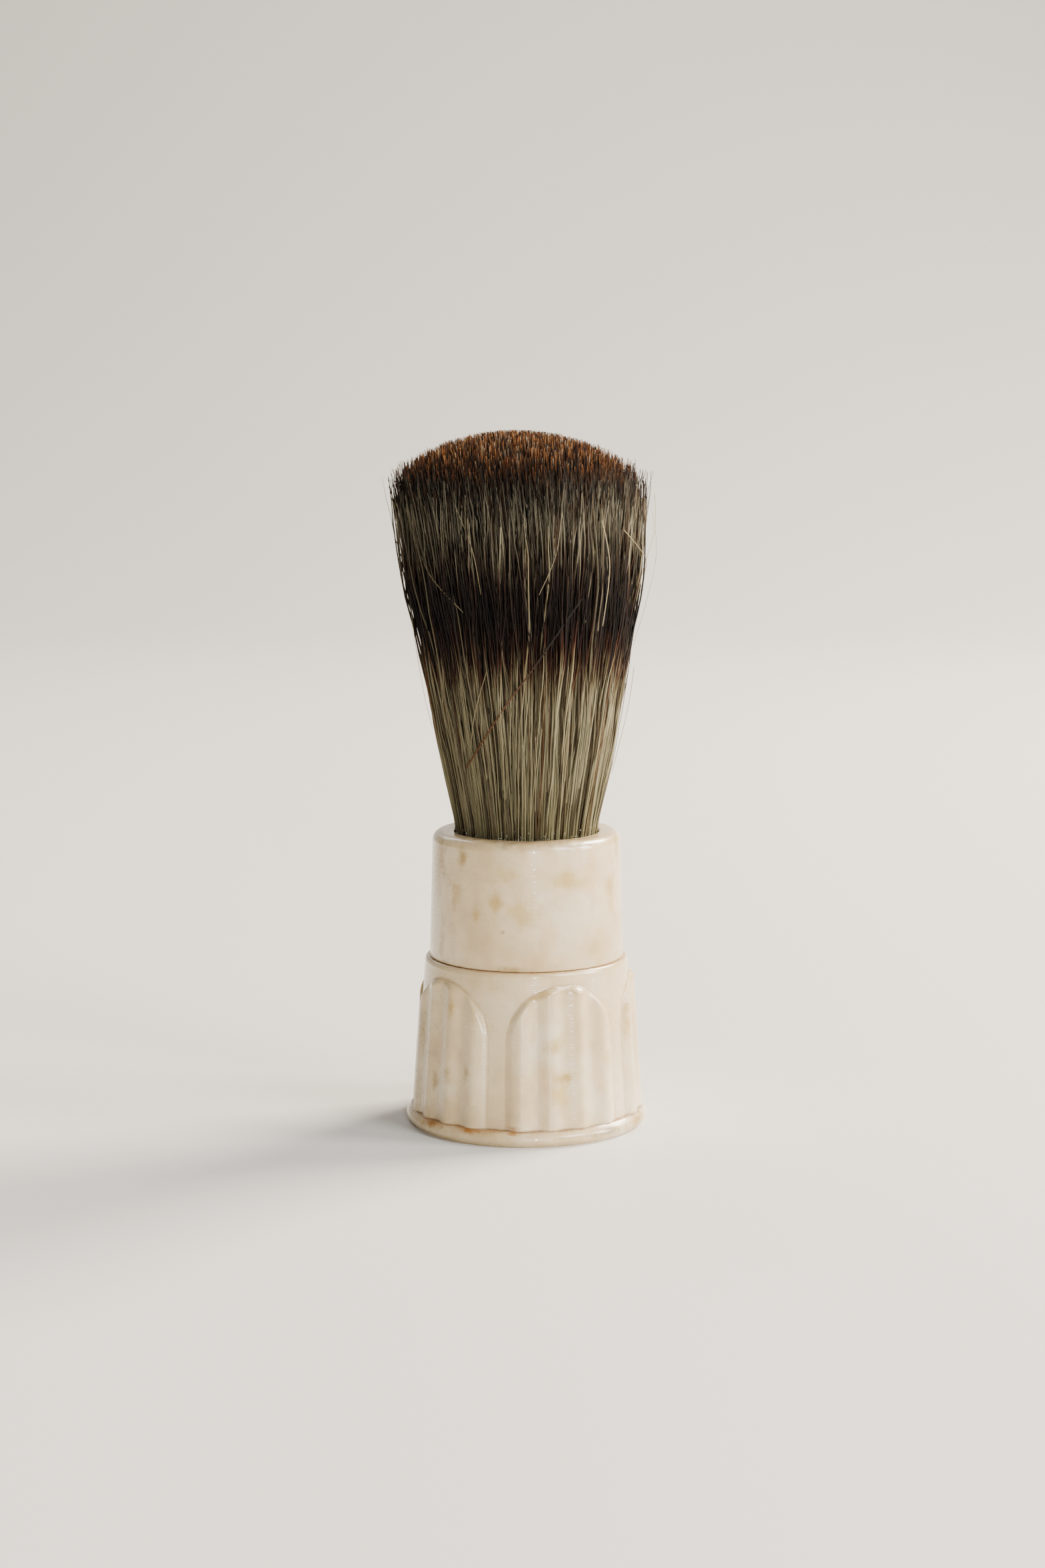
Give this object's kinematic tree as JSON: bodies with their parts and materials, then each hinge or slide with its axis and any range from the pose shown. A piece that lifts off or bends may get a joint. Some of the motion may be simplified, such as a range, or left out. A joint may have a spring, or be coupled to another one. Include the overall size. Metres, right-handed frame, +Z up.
{
  "type": "shaving brush",
  "caption": "Standing shaving brush with a fluted hollow base, a screw-on smooth collar and a domed hair knot.",
  "frame": {"origin": "centre of the foot, on the plane that the brush stands on", "axes": "+Z up along the handle towards the hair tips; -Y is the side that faces the viewer, and a reed panel's middle lies 20.4 degrees from -Y towards +X"},
  "size_m": [0.039, 0.039, 0.1087],
  "materials": {
    "ivory_plastic": "moulded gloss, aged ivory with ochre stains",
    "washer_fibre": "oiled fibre, dark brown",
    "hard_rubber": "matte vulcanised setting",
    "waxed_twine": "waxed linen twine",
    "badger_hair": "banded natural hair, pale root, dark band, brown tips",
    "setting_cement": "grey-brown setting cement"
  },
  "bodies": {
    "base": {"fluted_base": "ivory_plastic", "foot_cap": "ivory_plastic"},
    "washer": {"cushion_washer": "washer_fibre"},
    "collar": {"collar": "ivory_plastic", "knot_heel": "hard_rubber", "knot_binding": "waxed_twine", "hair_knot": "badger_hair", "setting_cement": "setting_cement"}
  },
  "joints": [
    {"name": "collar_lift", "type": "slide", "parent": "base", "child": "washer", "axis": [0, 0, 1], "range_m": [0, 0.006]},
    {"name": "collar_unscrew", "type": "hinge", "parent": "washer", "child": "collar", "pos_m": [0, 0, 0], "axis": [0, 0, 1], "range_deg": [0, 720]}
  ],
  "couplings": [
    {"joint": "collar_unscrew", "follows": "collar_lift", "rad_per_m": 2094.4}
  ]
}
